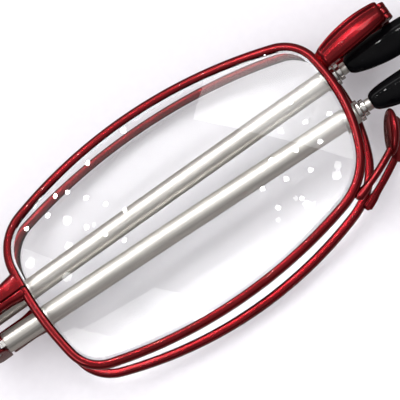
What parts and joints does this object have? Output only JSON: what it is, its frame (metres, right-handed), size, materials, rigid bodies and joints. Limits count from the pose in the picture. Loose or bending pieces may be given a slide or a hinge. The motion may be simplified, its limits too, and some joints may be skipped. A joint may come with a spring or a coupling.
{
  "type": "folding reading glasses",
  "caption": "Reading glasses folded flat: metal rims on a hinged bridge, with telescopic tube temples lying between the two lenses.",
  "frame": {"origin": "under the middle of the folded glasses, on the surface that they lie on", "axes": "+X along the lenses towards the bridge hinge, +Y the wearer's up, +Z out of the front of the wearer's right lens, which lies on top"},
  "size_m": [0.0738, 0.0296, 0.0126],
  "materials": {
    "red_lacquer": "glossy translucent red lacquer over polished metal",
    "clear_lens": "clear polished lens",
    "satin_silver": "satin silver plating, drawn along the tube",
    "polished_collar": "polished plated collars",
    "screw_steel": "bright steel screws and pins",
    "stop_brass": "plain brass friction rings",
    "black_tip": "glossy black plastic"
  },
  "bodies": {
    "left_front": {"left_rim": "red_lacquer", "left_lens": "clear_lens", "left_end_piece": "red_lacquer", "left_closing_block": "red_lacquer", "left_closing_screw": "screw_steel", "left_bridge_arm": "red_lacquer", "left_nose_pad_arm": "red_lacquer", "left_nose_pad": "red_lacquer", "left_temple_hinge_screw": "screw_steel"},
    "left_temple": {"left_temple_leaf": "satin_silver", "left_outer_tube": "satin_silver", "left_outer_collar": "polished_collar"},
    "left_middle_stage": {"left_middle_tube": "satin_silver", "left_middle_stop_ring": "stop_brass", "left_middle_collar": "polished_collar"},
    "left_rod_stage": {"left_rod": "satin_silver", "left_rod_stop_ring": "stop_brass", "left_tip_ferrule": "satin_silver", "left_temple_tip": "black_tip"},
    "right_front": {"right_rim": "red_lacquer", "right_lens": "clear_lens", "right_end_piece": "red_lacquer", "right_closing_block": "red_lacquer", "right_closing_screw": "screw_steel", "right_bridge_arm": "red_lacquer", "right_nose_pad_arm": "red_lacquer", "right_nose_pad": "red_lacquer", "right_temple_hinge_screw": "screw_steel", "bridge_hinge_pin": "screw_steel"},
    "right_temple": {"right_temple_leaf": "satin_silver", "right_outer_tube": "satin_silver", "right_outer_collar": "polished_collar"},
    "right_middle_stage": {"right_middle_tube": "satin_silver", "right_middle_stop_ring": "stop_brass", "right_middle_collar": "polished_collar"},
    "right_rod_stage": {"right_rod": "satin_silver", "right_rod_stop_ring": "stop_brass", "right_tip_ferrule": "satin_silver", "right_temple_tip": "black_tip"}
  },
  "joints": [
    {"name": "bridge_fold", "type": "hinge", "parent": "left_front", "child": "right_front", "pos_m": [0.03075, 0.0072, 0.00629], "axis": [0, 1, 0], "range_deg": [0, 180]},
    {"name": "right_temple_hinge", "type": "hinge", "parent": "right_front", "child": "right_temple", "pos_m": [-0.03545, 0.0041, 0.00629], "axis": [0, 1, 0], "range_deg": [0, 0.4]},
    {"name": "right_middle_slide", "type": "slide", "parent": "right_temple", "child": "right_middle_stage", "axis": [1, 0, 0], "range_m": [0, 0.025]},
    {"name": "right_rod_slide", "type": "slide", "parent": "right_middle_stage", "child": "right_rod_stage", "axis": [1, 0, 0], "range_m": [0, 0.025]},
    {"name": "left_temple_hinge", "type": "hinge", "parent": "left_front", "child": "left_temple", "pos_m": [-0.03545, 0.0003, 0.00629], "axis": [0, -1, 0], "range_deg": [0, 0.4]},
    {"name": "left_middle_slide", "type": "slide", "parent": "left_temple", "child": "left_middle_stage", "axis": [0.9994, -0.0349, 0], "range_m": [0, 0.025]},
    {"name": "left_rod_slide", "type": "slide", "parent": "left_middle_stage", "child": "left_rod_stage", "axis": [0.9994, -0.0349, 0], "range_m": [0, 0.025]}
  ]
}
